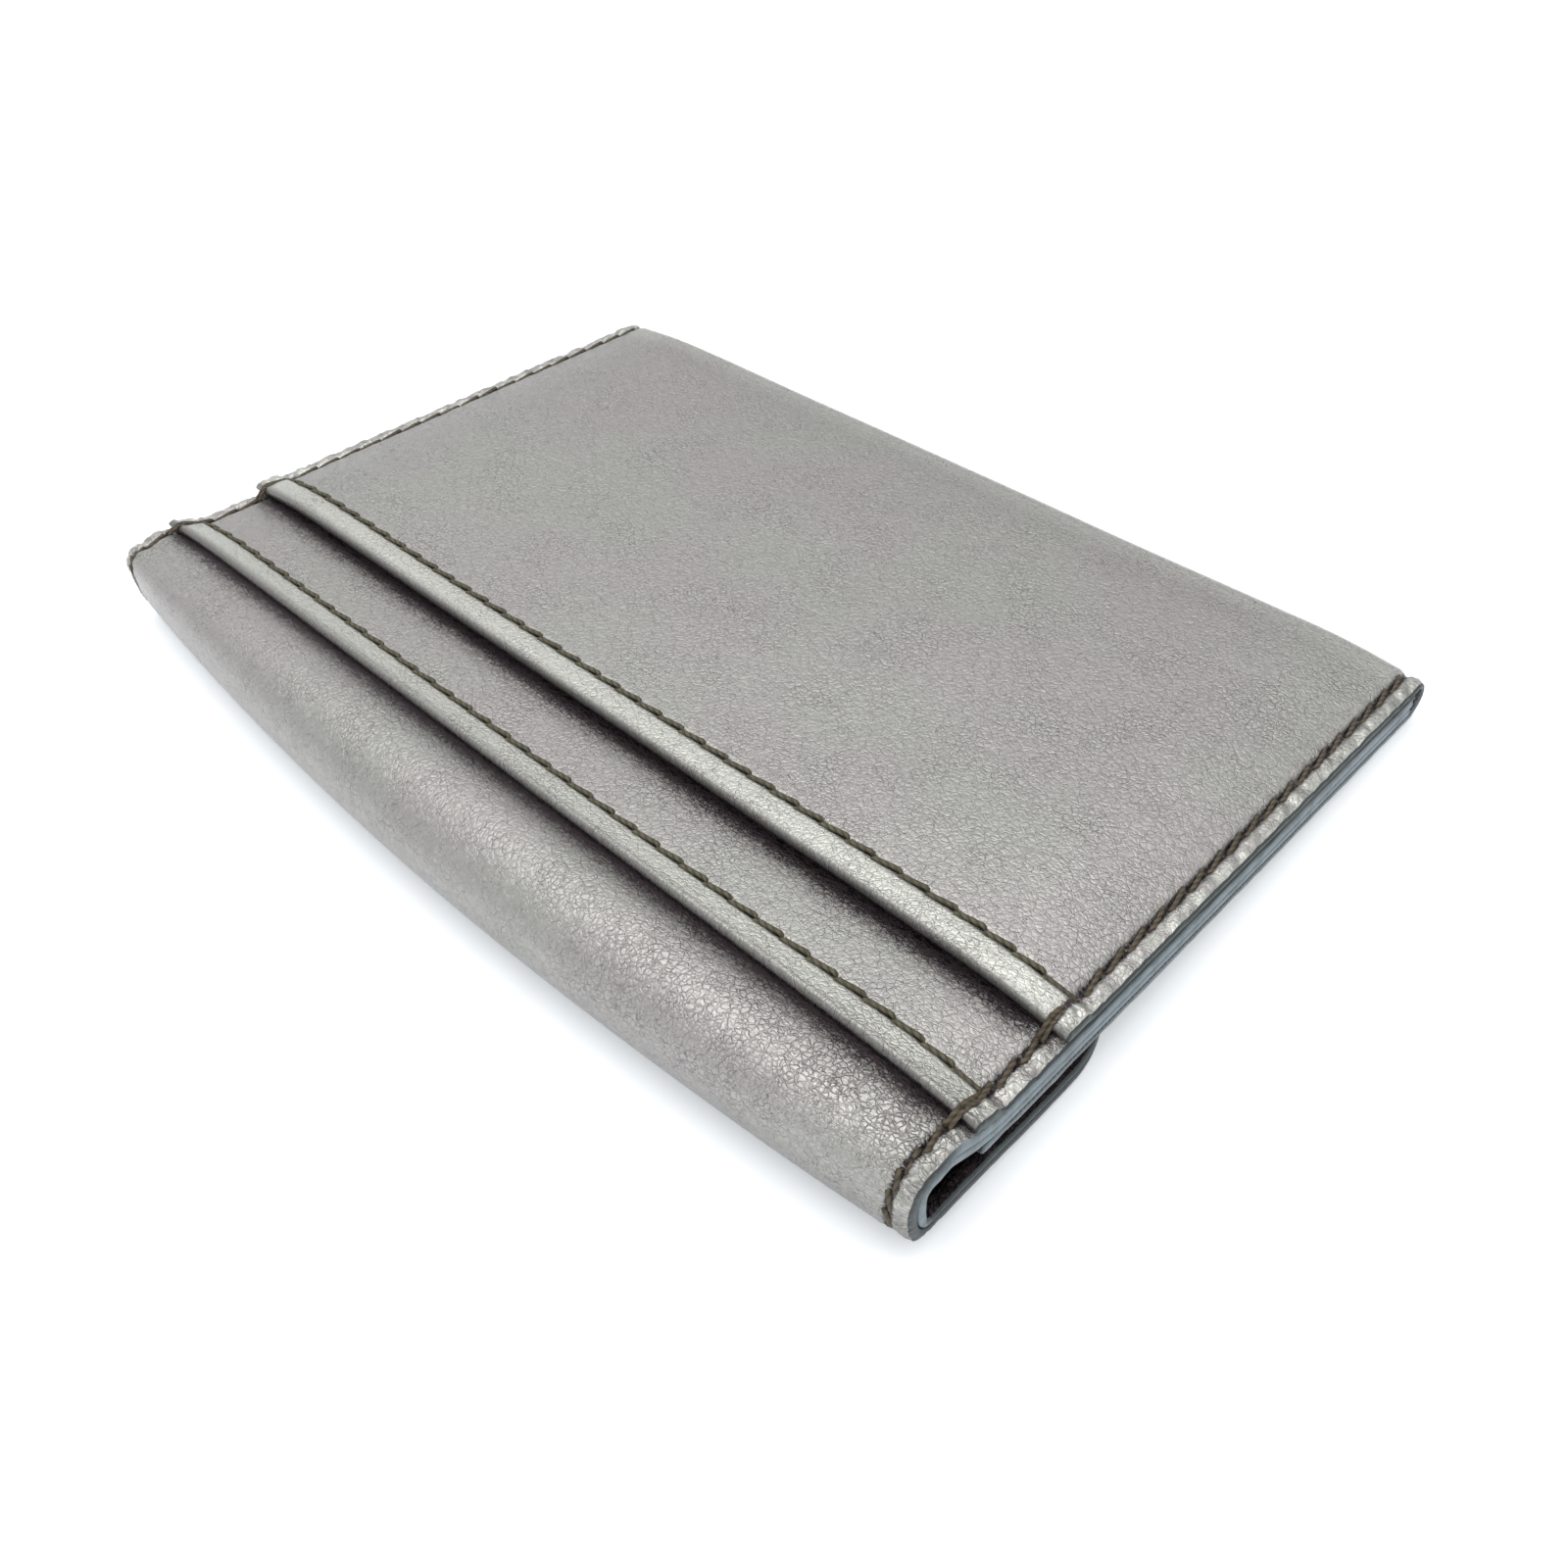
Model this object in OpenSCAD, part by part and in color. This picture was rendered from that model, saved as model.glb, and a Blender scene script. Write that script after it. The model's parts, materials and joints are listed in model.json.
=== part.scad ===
// Business card case in leather, lying on its closed flap.
// X runs along the long side, +Y from the flap's fold to the bottom of the case, +Z up.
// The origin is on the table, under the middle of the case.
// The back of the case is up. It carries two card slots, whose mouths face the fold.

/* [Case] */
// Length of the long side
case_w = 105; // [84:1:130]
// Depth of the closed case, from the fold to the bottom
case_l = 74; // [61:1:92]
// Height of the fold's crest above the outer pocket panel
crest_rise = 0.6; // [0.3:0.1:1.2]
// Length over which the back rises to the fold's crest
ramp_run = 8; // [7:0.5:11]

/* [Flap] */
// Length of the flap, from the fold's outermost line
flap_len = 32; // [26:1:40]
// Radius of the flap's two corners
flap_corner_r = 11; // [6:1:18]
// Gap between the flap's tip and the front of the case
tip_gap = 0.35; // [0.3:0.05:1]

/* [Leather and cloth] */
// Thickness of the back and flap leather
leather_t = 1.2; // [0.8:0.1:1.6]
// Thickness of the lining leather
lining_t = 0.9; // [0.6:0.1:1.2]
// Thickness of the outer pocket panel, which also makes the front
panel_t = 0.8; // [0.65:0.05:1.1]
// Thickness of the inner pocket panel
pocket_t = 0.7; // [0.55:0.05:1]
// Thickness of the cloth behind the front
cloth_t = 0.25; // [0.2:0.05:0.5]
// Space in each empty card slot on the back
slot_gap = 0.1; // [0.1:0.05:0.5]
// Space in the empty main pocket
main_gap = 0.35; // [0.3:0.05:1.5]

/* [Pocket mouths] */
// Outer slot's mouth, from the fold's outermost line
outer_mouth = 19; // [16:0.5:24]
// Inner slot's mouth, from the fold's outermost line
inner_mouth = 8.9; // [8.5:0.1:11]
// Main pocket's mouth, from the fold's outermost line
front_mouth = 10; // [8:0.5:14]

/* [Stitching] */
// Distance of the seams from the side edges and the flap's edge
seam_inset = 1.7; // [1.4:0.1:3.5]
// Distance of a mouth's seam from its turned edge
mouth_inset = 3; // [2:0.1:4]
// Pitch of the stitches
pitch = 2.7; // [2.2:0.1:3.5]
// Gap between one stitch and the next
stitch_gap = 0.5; // [0.4:0.1:0.8]
// Width of the thread
thread_w = 0.5; // [0.3:0.05:0.7]
// Thickness of the thread
thread_t = 0.25; // [0.2:0.05:0.3]
// Depth of the groove that the stitches pull into the leather
groove_d = 0.3; // [0.3:0.05:0.35]
// Clearance on each side of the thread in its groove
groove_clear = 0.1; // [0.05:0.05:0.2]

/* [Bending fold] */
// Gap between two strips of the fold
strip_gap = 0.06; // [0.04:0.01:0.1]

/* [Hidden] */

$fn = 96;
METAL = [0.62, 0.61, 0.60];
METAL_LINING = [0.50, 0.48, 0.48];
CLOTH = [0.22, 0.20, 0.19];
THREAD = [0.30, 0.27, 0.18];

flap_t = leather_t + lining_t;
body_t = panel_t + cloth_t + main_gap + lining_t + leather_t + pocket_t + panel_t + 2 * slot_gap;
bottom_r = body_t / 2;

// The table touches the fold, the flap and the case's rounded bottom. The case leans so that
// its front clears the flap's tip by tip_gap. half_tan is the tangent of half that lean.
tip_to_bottom = case_l - bottom_r - flap_len;
tip_height = flap_t + tip_gap;
half_tan = tip_height
    / (tip_to_bottom + sqrt(pow(tip_to_bottom, 2) + tip_height * (tip_height - 2 * bottom_r)));
lean = 2 * atan(half_tan);

// Outer radius of the fold: its crest stands crest_rise over the back, its lowest line on the table
fold_r = (crest_rise + body_t + (case_l - bottom_r * (1 + half_tan)) * sin(lean))
    / (1 + cos(lean) + sin(lean));
fold_y = fold_r - case_l / 2;

// Heights in the case, from the fold's axis
outer_top = fold_r - crest_rise;
inner_top = outer_top - panel_t - slot_gap;
back_top = inner_top - pocket_t - slot_gap;
under = outer_top - body_t;
front_top = under + panel_t;

// Places along the case, from the fold's axis
bottom_v = (case_l - fold_r - bottom_r) * cos(lean) + (fold_r - bottom_r) * sin(lean);
outer_v = outer_mouth - fold_r;
inner_v = inner_mouth - fold_r;
front_v = front_mouth - fold_r;
flap_v = flap_len - fold_r;
// The inner layers stop short of the panel's turn round the bottom
end_clear = 0.3;
layers_end_v = bottom_v - end_clear;

// The back's ramp up to the crest: a hollow arc of ramp_r, then the fold's own arc
ramp_rise = fold_r - back_top;
ramp_turn = 2 * atan(ramp_rise / ramp_run);
ramp_r = ramp_run / sin(ramp_turn) - fold_r;
ramp_z = back_top + ramp_r;
// The inner pocket panel lies on the hollow arc
inner_floor_r = ramp_r - slot_gap;
inner_top_r = inner_floor_r - pocket_t;
inner_mid_r = inner_floor_r - pocket_t / 2;
inner_turn = asin((ramp_run - inner_v - pocket_t / 2) / inner_mid_r);
inner_mouth_centre = [ramp_run, ramp_z] - inner_mid_r * [sin(inner_turn), cos(inner_turn)];

// Four equal bends unroll the half turn between the crest and the table
sector = (180 + lean) / 4;
gap_angle = strip_gap / 2 / fold_r * 180 / PI;
// The layers' bends are drawn in steps of about this angle
bend_step = 4;

side_x = case_w / 2 - seam_inset;
groove_w = thread_w + 2 * groove_clear;
// Depth of the thread's top below the leather, so that it never stands proud
sunk = groove_d - thread_t;
// The mouths' rows stop short of the side seams
row_l = 2 * side_x - pitch;
// The cutting shapes reach well past what they cut
reach = 2 * case_l;

// ---- Shapes that repeat ----

function bend_angle(i) = 90 - lean + sector * (i - 0.5);
function spoke(a) = reach * [cos(a), sin(a)];

// An outline in Y and Z becomes a slab of that width along X
module slab(width, x = 0)
    translate([x, 0, 0]) rotate([90, 0, 90])
        linear_extrude(width, center = true) children();

// The same slab at both side seams
module at_side_seams(width) for (s = [-1, 1]) slab(width, s * side_x) children();

// Pieces stand on the leaning case, or under it on the table, and start from the fold's axis
module on_case() translate([0, fold_y, fold_r]) rotate([-lean, 0, 0]) children();
module on_table() translate([0, fold_y, fold_r]) children();

// Part of a ring between two radii and two angles
module arc_strip(r_in, r_out, a0, a1)
    intersection() {
        difference() {
            circle(r_out);
            circle(r_in);
        }
        polygon([[0, 0], spoke(a0), spoke((2 * a0 + a1) / 3), spoke((a0 + 2 * a1) / 3), spoke(a1)]);
    }

// Points along an arc, its first one left out
function arc_points(centre, r, a0, a1) =
    let (n = ceil(abs(a1 - a0) / bend_step))
        [for (i = [1 : n]) let (a = a0 + (a1 - a0) * i / n) centre + r * [cos(a), sin(a)]];

function reversed(points) = [for (i = [len(points) - 1 : -1 : 0]) points[i]];

// The back's line at a depth below its top: from v1 down the flat, up the ramp, to the first bend
function back_line(depth, v1) = concat(
    [[v1, back_top - depth], [ramp_run, back_top - depth]],
    arc_points([ramp_run, ramp_z], ramp_r + depth, 270, 270 - ramp_turn),
    arc_points([0, 0], fold_r - depth, 90 - ramp_turn, lean + bend_angle(1) - gap_angle));

// The inner pocket panel's line at a depth below its top, as far as the middle of its mouth
function inner_line(depth, v1) = concat(
    [[v1, inner_top - depth], [ramp_run, inner_top - depth]],
    arc_points([ramp_run, ramp_z], inner_top_r + depth, 270, 270 - inner_turn));

module back_band(depth, t, v1 = layers_end_v)
    polygon(concat(back_line(depth, v1), reversed(back_line(depth + t, v1))));

module inner_band(depth, t, v1)
    polygon(concat(inner_line(depth, v1), reversed(inner_line(depth + t, v1))));

// A band of one strip of the fold, between bends i and i + 1
module fold_band(i, depth, t)
    arc_strip(fold_r - depth - t, fold_r - depth,
        bend_angle(i) + gap_angle, bend_angle(i + 1) - gap_angle);

// The outer panel's line: round the case's bottom at an inset, between its two mouths
function outer_line(inset) = concat(
    [[outer_v + panel_t / 2, outer_top - inset], [bottom_v, outer_top - inset]],
    arc_points([bottom_v, under + bottom_r], bottom_r - inset, 90, -90),
    [[front_v + panel_t / 2, under + inset]]);

// The flap's outline from y0 to its rounded tip, drawn in by an inset
module flap_outline(inset, y0) {
    r = flap_corner_r - inset;
    half = case_w / 2 - inset;
    straight = flap_v - flap_corner_r;
    intersection() {
        union() {
            translate([-half, y0]) square([2 * half, straight - y0]);
            translate([r - half, y0]) square([2 * (half - r), flap_v - inset - y0]);
            for (s = [-1, 1]) translate([s * (half - r), straight]) circle(r);
        }
        translate([-case_w, y0]) square([2 * case_w, 2 * case_l]);
    }
}

// A band of that width along the flap's seam, open towards the fold
module flap_seam(width)
    difference() {
        flap_outline(seam_inset - width / 2, 0);
        flap_outline(seam_inset + width / 2, -1);
    }

// Slots that divide a thread seen from the side into stitches
module stitch_slots(v0, v1)
    for (v = [v0 : pitch : v1]) translate([v, -reach / 2]) square([stitch_gap, reach]);

// Two stitches on each strip of the fold: a gap at both ends and one in the middle
module fold_slots(i)
    for (a = [0, 0.5, 1]) rotate(bend_angle(i) + a * sector)
        translate([0, -stitch_gap / 2]) square([2 * fold_r, stitch_gap]);

// Slots that divide the thread round the flap into stitches
module flap_slots() {
    straight = flap_v - flap_corner_r;
    tip_half = case_w / 2 - flap_corner_r;
    corner_count = round((flap_corner_r - seam_inset) * PI / 2 / pitch);
    for (y = [pitch : pitch : straight - pitch / 2])
        translate([-case_w / 2, y]) square([case_w, stitch_gap]);
    for (x = [pitch / 2 : pitch : tip_half - pitch / 2], s = [-1, 1])
        translate([s * x - stitch_gap / 2, straight]) square([stitch_gap, flap_corner_r]);
    for (s = [-1, 1], i = [0 : corner_count])
        translate([s * tip_half, straight]) rotate(90 - s * 90 * i / corner_count)
            translate([0, -stitch_gap / 2]) square([flap_corner_r, stitch_gap]);
}

// A straight row of stitches along X, centred on the seam, with its lowest side at z
module mouth_row(z) {
    count = floor(row_l / pitch);
    stitch_l = pitch - stitch_gap;
    for (i = [0 : count - 1])
        translate([(i - (count - 1) / 2) * pitch - stitch_l / 2, -thread_w / 2, z])
            cube([stitch_l, thread_w, thread_t]);
}

// The groove that holds such a row
module mouth_groove(z)
    translate([-row_l / 2, -groove_w / 2, z]) cube([row_l, groove_w, groove_d]);

// Where each mouth's seam lies on its panel. The inner one may lie on the ramp, turned with it
inner_seam_v = inner_v + mouth_inset;
inner_seam_turn = inner_seam_v < ramp_run ? asin((ramp_run - inner_seam_v) / inner_top_r) : 0;
inner_seam_z = inner_top + inner_top_r * (1 - cos(inner_seam_turn));
module at_outer_seam() on_case() translate([0, outer_v + mouth_inset, outer_top]) children();
module at_inner_seam()
    on_case() translate([0, inner_seam_v, inner_seam_z]) rotate([-inner_seam_turn, 0, 0])
        children();
module at_front_seam() on_case() translate([0, front_v + mouth_inset, under]) children();

// ---- Layers of the case ----

module back_leather() color(METAL)
    on_case() difference() {
        slab(case_w) back_band(0, leather_t);
        at_side_seams(groove_w) back_band(0, groove_d, outer_v);
    }

module back_lining() color(METAL_LINING)
    on_case() slab(case_w) back_band(leather_t, lining_t);

module outer_pocket_panel() color(METAL)
    difference() {
        on_case() difference() {
            slab(case_w) polygon(concat(
                outer_line(0),
                arc_points([front_v + panel_t / 2, under + panel_t / 2], panel_t / 2, 270, 90),
                reversed(outer_line(panel_t)),
                arc_points([outer_v + panel_t / 2, outer_top - panel_t / 2], panel_t / 2, 270, 90)));
            at_side_seams(groove_w) {
                translate([outer_v, outer_top - groove_d])
                    square([bottom_v - outer_v, groove_d]);
                translate([front_v, under]) square([bottom_v - front_v, groove_d]);
            }
        }
        at_outer_seam() mouth_groove(-groove_d);
        at_front_seam() mouth_groove(0);
    }

module inner_pocket_panel() color(METAL)
    difference() {
        on_case() difference() {
            slab(case_w) polygon(concat(
                inner_line(0, layers_end_v),
                arc_points(inner_mouth_centre, pocket_t / 2, 90 - inner_turn, 270 - inner_turn),
                reversed(inner_line(pocket_t, layers_end_v))));
            at_side_seams(groove_w) inner_band(0, groove_d, outer_v + mouth_inset);
        }
        at_inner_seam() mouth_groove(-groove_d);
    }

module front_lining() color(CLOTH)
    on_case() slab(case_w)
        translate([front_v + mouth_inset, front_top])
            square([layers_end_v - front_v - mouth_inset, cloth_t]);

// ---- Stitching of the case ----

module outer_mouth_stitching() color(THREAD) at_outer_seam() mouth_row(-groove_d);
module inner_mouth_stitching() color(THREAD) at_inner_seam() mouth_row(-groove_d);
module front_mouth_stitching() color(THREAD) at_front_seam() mouth_row(sunk);

// One side seam: over the outer panel, the inner panel and the ramp, and along the front
module side_stitching(s) color(THREAD)
    on_case() slab(thread_w, s * side_x) difference() {
        union() {
            translate([outer_v + panel_t / 2, outer_top - groove_d])
                square([bottom_v - outer_v - panel_t / 2, thread_t]);
            translate([front_v + panel_t / 2, under + sunk])
                square([bottom_v - front_v - panel_t / 2, thread_t]);
            intersection() {
                inner_band(sunk, thread_t, outer_v);
                translate([inner_v + pocket_t, -reach / 2]) square([reach, reach]);
            }
            intersection() {
                back_band(sunk, thread_t, outer_v);
                translate([inner_v - reach, -reach / 2]) square([reach, reach]);
            }
        }
        stitch_slots(outer_v - stitch_gap - 6 * pitch, bottom_v);
    }

module left_side_stitching() side_stitching(-1);
module right_side_stitching() side_stitching(1);

// ---- Strips of the fold ----

module fold_leather(i) color(METAL)
    on_table() difference() {
        slab(case_w) fold_band(i, 0, leather_t);
        at_side_seams(groove_w) fold_band(i, 0, groove_d);
    }

module fold_lining(i) color(METAL_LINING)
    on_table() slab(case_w) fold_band(i, leather_t, lining_t);

module fold_stitching(i) color(THREAD)
    on_table() at_side_seams(thread_w) difference() {
        fold_band(i, sunk, thread_t);
        fold_slots(i);
    }

// ---- Flap ----

// The flap takes the last part of the fold, from the fourth bend down to the table
module flap_fold(depth, t)
    slab(case_w) arc_strip(fold_r - depth - t, fold_r - depth, bend_angle(4) + gap_angle, 270);

module flap_leather() color(METAL)
    on_table() difference() {
        union() {
            flap_fold(0, leather_t);
            translate([0, 0, -fold_r]) linear_extrude(leather_t) flap_outline(0, 0);
        }
        translate([0, 0, -fold_r]) linear_extrude(groove_d) flap_seam(groove_w);
        at_side_seams(groove_w)
            arc_strip(fold_r - groove_d, fold_r, bend_angle(4), 270);
    }

module flap_lining() color(METAL_LINING)
    on_table() difference() {
        union() {
            flap_fold(leather_t, lining_t);
            translate([0, 0, leather_t - fold_r]) linear_extrude(lining_t) flap_outline(0, 0);
        }
        translate([0, 0, flap_t - fold_r - groove_d]) linear_extrude(groove_d)
            flap_seam(groove_w);
    }

module flap_stitching() color(THREAD)
    on_table() for (z = [sunk, flap_t - groove_d])
        translate([0, 0, z - fold_r]) linear_extrude(thread_t) difference() {
            flap_seam(thread_w);
            flap_slots();
        }

back_leather();
back_lining();
outer_pocket_panel();
inner_pocket_panel();
front_lining();
outer_mouth_stitching();
inner_mouth_stitching();
front_mouth_stitching();
left_side_stitching();
right_side_stitching();
fold_leather(1);  // fold_leather_upper
fold_lining(1);  // fold_lining_upper
fold_stitching(1);  // fold_stitching_upper
fold_leather(2);  // fold_leather_middle
fold_lining(2);  // fold_lining_middle
fold_stitching(2);  // fold_stitching_middle
fold_leather(3);  // fold_leather_lower
fold_lining(3);  // fold_lining_lower
fold_stitching(3);  // fold_stitching_lower
flap_leather();
flap_lining();
flap_stitching();
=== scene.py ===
"""A slim leather business card case, lying on its own closed flap with the card slots of its back up."""

import json
import math

import bpy
import numpy as np
from mathutils import Matrix, Vector


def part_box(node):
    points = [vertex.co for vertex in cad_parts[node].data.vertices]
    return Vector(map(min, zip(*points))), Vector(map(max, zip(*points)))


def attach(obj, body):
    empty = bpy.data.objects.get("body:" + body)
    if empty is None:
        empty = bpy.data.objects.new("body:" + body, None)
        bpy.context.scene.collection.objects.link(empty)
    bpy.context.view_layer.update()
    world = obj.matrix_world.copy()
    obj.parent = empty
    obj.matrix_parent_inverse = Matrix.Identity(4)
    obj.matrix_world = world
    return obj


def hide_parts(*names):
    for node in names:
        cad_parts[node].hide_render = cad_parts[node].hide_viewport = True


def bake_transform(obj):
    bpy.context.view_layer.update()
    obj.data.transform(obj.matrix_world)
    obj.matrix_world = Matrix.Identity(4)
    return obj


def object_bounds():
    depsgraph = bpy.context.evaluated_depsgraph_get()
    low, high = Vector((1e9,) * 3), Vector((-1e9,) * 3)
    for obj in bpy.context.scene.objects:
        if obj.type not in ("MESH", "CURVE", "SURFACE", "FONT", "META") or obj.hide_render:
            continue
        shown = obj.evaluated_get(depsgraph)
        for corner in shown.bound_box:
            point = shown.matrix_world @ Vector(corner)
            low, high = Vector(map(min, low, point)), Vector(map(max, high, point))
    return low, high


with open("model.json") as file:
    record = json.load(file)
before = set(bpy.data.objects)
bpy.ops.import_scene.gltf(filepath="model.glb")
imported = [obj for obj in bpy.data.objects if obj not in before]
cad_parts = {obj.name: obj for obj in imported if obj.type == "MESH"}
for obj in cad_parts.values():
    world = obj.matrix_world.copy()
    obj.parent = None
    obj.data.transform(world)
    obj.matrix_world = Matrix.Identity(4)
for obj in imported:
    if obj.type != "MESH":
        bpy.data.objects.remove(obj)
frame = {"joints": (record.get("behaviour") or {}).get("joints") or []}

cad_box = [list(corner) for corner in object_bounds()]
mm = 0.001

# ---- Viewpoint ----
# The case leans a little towards its bottom edge, because its flap lies under the other edge only.
# The viewpoint stands off the right end of the fold, at a height and a turn given on the leaning case.

case_low, case_high = (np.array(corner) for corner in cad_box)
half_w = (case_high[0] - case_low[0]) / 2
fold_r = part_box("back_leather")[1].z / 2
fold_y = case_low[1] + fold_r
bends = [math.atan2(j["pos_m"][2] - fold_r, j["pos_m"][1] - fold_y) % (2 * math.pi) for j in frame["joints"]]
sector = bends[1] - bends[0]
lean = 4 * sector - math.pi


def on_table(y, z):
    """A place measured from the fold's axis becomes Y and Z on the table."""
    return fold_y + y, fold_r + z


def turned(along, height):
    """A place along and above the leaning case becomes one measured level: a turn about the fold's axis."""
    return (along * math.cos(lean) + height * math.sin(lean),
            height * math.cos(lean) - along * math.sin(lean))


def place_on_case(node):
    """The middle of a CAD node's box, along and above the leaning case from the fold's axis."""
    low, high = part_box(node)
    y, z = (low.y + high.y) / 2 - fold_y, (low.z + high.z) / 2 - fold_r
    return y * math.cos(lean) - z * math.sin(lean), y * math.sin(lean) + z * math.cos(lean)


def placed(name, data):
    """A new object in the scene."""
    thing = bpy.data.objects.new(name, data)
    bpy.context.scene.collection.objects.link(thing)
    return thing


outer_seam_v, outer_seam_w = place_on_case("outer_mouth_stitching")
view_turn, view_height, view_roll = math.radians(44.42), math.radians(43.05), math.radians(-0.75)
view_distance = 113.25 * mm
aim_x, aim_v, aim_w = 21.5 * mm, outer_seam_v + 1.2 * mm, outer_seam_w + 0.7 * mm

back = Vector((math.sin(view_turn) * math.cos(view_height),
               -math.cos(view_turn) * math.cos(view_height), math.sin(view_height)))
right = Vector((0, 0, 1)).cross(back).normalized()
up = back.cross(right)
camera_x = math.cos(view_roll) * right + math.sin(view_roll) * up
camera_y = math.cos(view_roll) * up - math.sin(view_roll) * right
axes = Matrix((camera_x, camera_y, back)).transposed()
leaning = Matrix.Rotation(-lean, 3, "X")
aim = Vector((aim_x, *on_table(*turned(aim_v, aim_w))))
camera = placed("viewpoint", bpy.data.cameras.new("viewpoint"))
camera.data.lens = 32.32
camera.data.sensor_width = 36
camera.data.clip_start = 0.005
camera.matrix_world = (Matrix.Translation(aim + leaning @ back * view_distance)
                       @ (leaning @ axes).to_4x4())
bpy.context.scene.camera = camera

# ---- Back leather: one long hide, from the bottom of the case round the fold to the flap's tip ----
# A metallic-finished hide, 1.2 mm thick, with painted cut edges. The side seams press it thin and it
# swells between them. It is cut into pieces half way between the fold's four joints.

hide_gauge, liner_gauge, cloth_gauge = 1.2 * mm, 0.9 * mm, 0.25 * mm
panel_gauge, pocket_gauge = 0.8 * mm, 0.7 * mm
# The side seams press a layer's top down by its own share and the shares of the layers under it
liner_press, hide_press, pocket_press, panel_press = 0.222 * mm, 0.281 * mm, 0.432 * mm, 0.568 * mm
slot_gap = 0.1 * mm
seam_inset, mouth_inset, pitch = 1.7 * mm, 3.0 * mm, 2.7 * mm
groove_depth, thread_gauge = 0.3 * mm, 0.25 * mm
flap_corner_r = 11 * mm
ramp_run, inner_mouth = 8 * mm, 8.9 * mm

outer_top = outer_seam_w + groove_depth - thread_gauge / 2
back_top = outer_top - panel_gauge - pocket_gauge - 2 * slot_gap
under = place_on_case("front_mouth_stitching")[1] - (groove_depth - thread_gauge) - thread_gauge / 2
outer_v = outer_seam_v - mouth_inset
front_v = place_on_case("front_mouth_stitching")[0] - mouth_inset
flap_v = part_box("flap_leather")[1].y - fold_y
bottom_r = (outer_top - under) / 2
bottom_v = (case_high[1] - fold_y - bottom_r) * math.cos(lean) + (fold_r - bottom_r) * math.sin(lean)
layers_end_v = bottom_v - 0.3 * mm
side_x = half_w - seam_inset
mouth_pitch = side_x / round(side_x / pitch)

ramp_turn = 2 * math.atan((fold_r - back_top) / ramp_run)
ramp_r = ramp_run / math.sin(ramp_turn) - fold_r
flat_run = layers_end_v - ramp_run
ramp_len = ramp_r * ramp_turn
fold_turn = math.pi + lean + ramp_turn
turn_at_fold = math.pi / 2 - lean - ramp_turn


def ease(share):
    """0 below 0 and 1 above 1, with a smooth S between them: three squares less two cubes."""
    share = np.clip(share, 0, 1)
    return share * share * (3 - 2 * share)


def run_at(turn):
    """Distance along the back leather at which the fold has reached that turn."""
    return flat_run + ramp_len + fold_r * (turn - turn_at_fold)


def back_line(s):
    """Place and facing of the back leather's outer face at distance s: a straight run, a hollow arc up the
    ramp, the round of the fold and the straight flap, each starting where the last ends."""
    ramp = np.clip(s - flat_run, 0, ramp_len) / ramp_r
    fold = np.clip(s - flat_run - ramp_len, 0, fold_r * fold_turn) / fold_r
    flap = np.maximum(s - flat_run - ramp_len - fold_r * fold_turn, 0)
    level = math.pi / 2 - lean
    start_y, start_z = turned(layers_end_v, back_top)
    y = (start_y - np.minimum(s, flat_run) * math.cos(lean)
         - ramp_r * (np.cos(level - ramp) - math.cos(level))
         + fold_r * (np.cos(turn_at_fold + fold) - math.cos(turn_at_fold)) + flap)
    z = (start_z + np.minimum(s, flat_run) * math.sin(lean)
         - ramp_r * (np.sin(level - ramp) - math.sin(level))
         + fold_r * (np.sin(turn_at_fold + fold) - math.sin(turn_at_fold)))
    return y, z, level - ramp + fold


swell, crown_run = 0.6 * mm, 10 * mm
crest_s = run_at(math.pi / 2)
table_s = run_at(1.5 * math.pi)
inner_v = inner_mouth - fold_r
inner_mouth_s = flat_run + ramp_r * math.asin((ramp_run - inner_v) / ramp_r)


def between_seams(x):
    """0 outside the side seams, rising to 1 inside: one less a power of the way still to go."""
    return 1 - (1 - np.clip((side_x - np.abs(x)) / crown_run, 0, 1)) ** 2.2


def pinched(x):
    """Share of its gauge that a layer keeps: a little less at the side seams."""
    return 1 - 0.075 * (1 - between_seams(x))


def far_share(v):
    """The swelling dies away at the bottom of the case: one less an exponential of the distance left."""
    return 1 - np.exp(-(np.maximum(bottom_v + bottom_r - v, 0) / (4 * mm)) ** 1.5)


def sunk_before(distance, fade):
    """A layer sinks towards the mouth that lies on it: an exponential of the distance in front of the mouth,
    and an S back up under the panel."""
    return np.where(distance > 0, np.exp(-np.maximum(distance, 0) / fade),
                    1 - ease((-distance - 0.5 * mm) / (5 * mm)))


def uneven(a, b, size, seed):
    """Soft bumps about that size apart: a quarter of the sum of nine sine waves in all directions."""
    chance = np.random.default_rng(seed)
    total = 0
    for _ in range(9):
        turn, start = chance.uniform(0, math.pi), chance.uniform(0, 2 * math.pi)
        length = size * chance.uniform(0.7, 1.5)
        total = total + np.sin((a * math.cos(turn) + b * math.sin(turn)) * 2 * math.pi / length + start)
    return total / 4


def pared(edge):
    """A top face slopes down to its cut edge, where the hide was pared: a square of the way still to go."""
    return -0.24 * mm * np.clip(1 - edge / (1.35 * mm), 0, 1) ** 2


def sewn_groove(inset, s):
    """What a seam does to the leather at that inset from the edge: a narrow trough, deepest at the needle
    holes between stitches, with the leather puffed up on both sides."""
    beat = np.cos(2 * math.pi * s / pitch)
    trough = np.exp(-((inset - seam_inset) / (0.34 * mm)) ** 2)
    lips = np.exp(-((inset - seam_inset + 0.95 * mm) / (0.55 * mm)) ** 2) + 0.5 * np.exp(
        -((inset - seam_inset - 0.85 * mm) / (0.5 * mm)) ** 2)
    return -0.27 * mm * trough * (1 - 0.2 * beat) + 0.05 * mm * lips * (1 + 0.9 * beat)


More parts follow.
